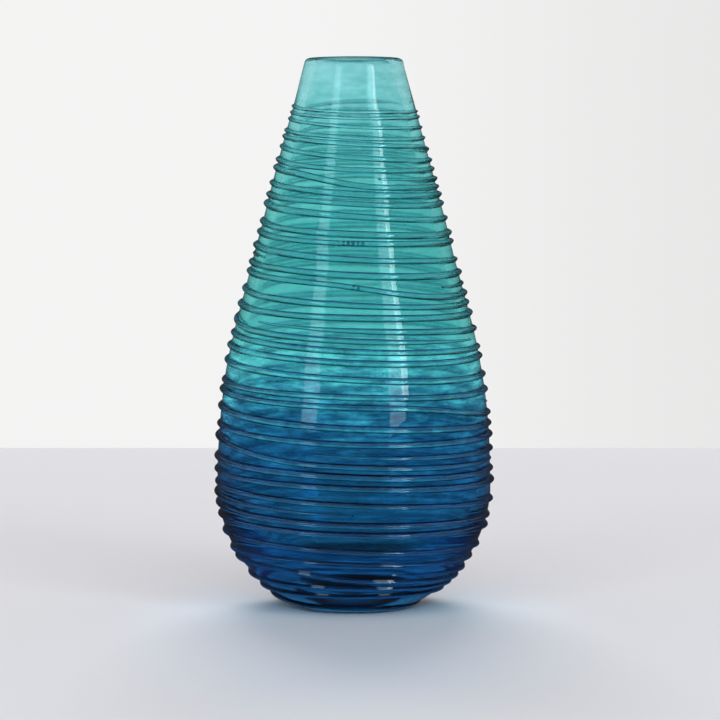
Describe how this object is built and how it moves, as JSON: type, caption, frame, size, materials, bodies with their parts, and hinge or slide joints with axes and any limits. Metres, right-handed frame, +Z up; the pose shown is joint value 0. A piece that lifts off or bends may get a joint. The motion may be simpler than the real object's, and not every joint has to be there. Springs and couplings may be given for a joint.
{
  "type": "glass bud vase",
  "caption": "Hand-blown teardrop bud vase of cased glass, blue fading up to teal, with clear glass thread trails wound round it.",
  "frame": {"origin": "centre of the foot, on the surface that the vase stands on", "axes": "+Z up the vase's own axis, from the foot to the mouth; +X and +Y are across it, any way round"},
  "size_m": [0.1029, 0.103, 0.2],
  "materials": {
    "teal_glass": "polished",
    "blue_glass": "polished",
    "casing_glass": "polished",
    "trail_glass": "polished"
  },
  "bodies": {
    "root": {"inner_gather": "teal_glass", "blue_cup": "blue_glass", "outer_casing": "casing_glass", "thread_trail_01": "trail_glass", "thread_trail_02": "trail_glass", "thread_trail_03": "trail_glass", "thread_trail_04": "trail_glass", "thread_trail_05": "trail_glass", "thread_trail_06": "trail_glass", "thread_trail_07": "trail_glass", "thread_trail_08": "trail_glass", "thread_trail_09": "trail_glass", "thread_trail_10": "trail_glass"}
  },
  "joints": []
}
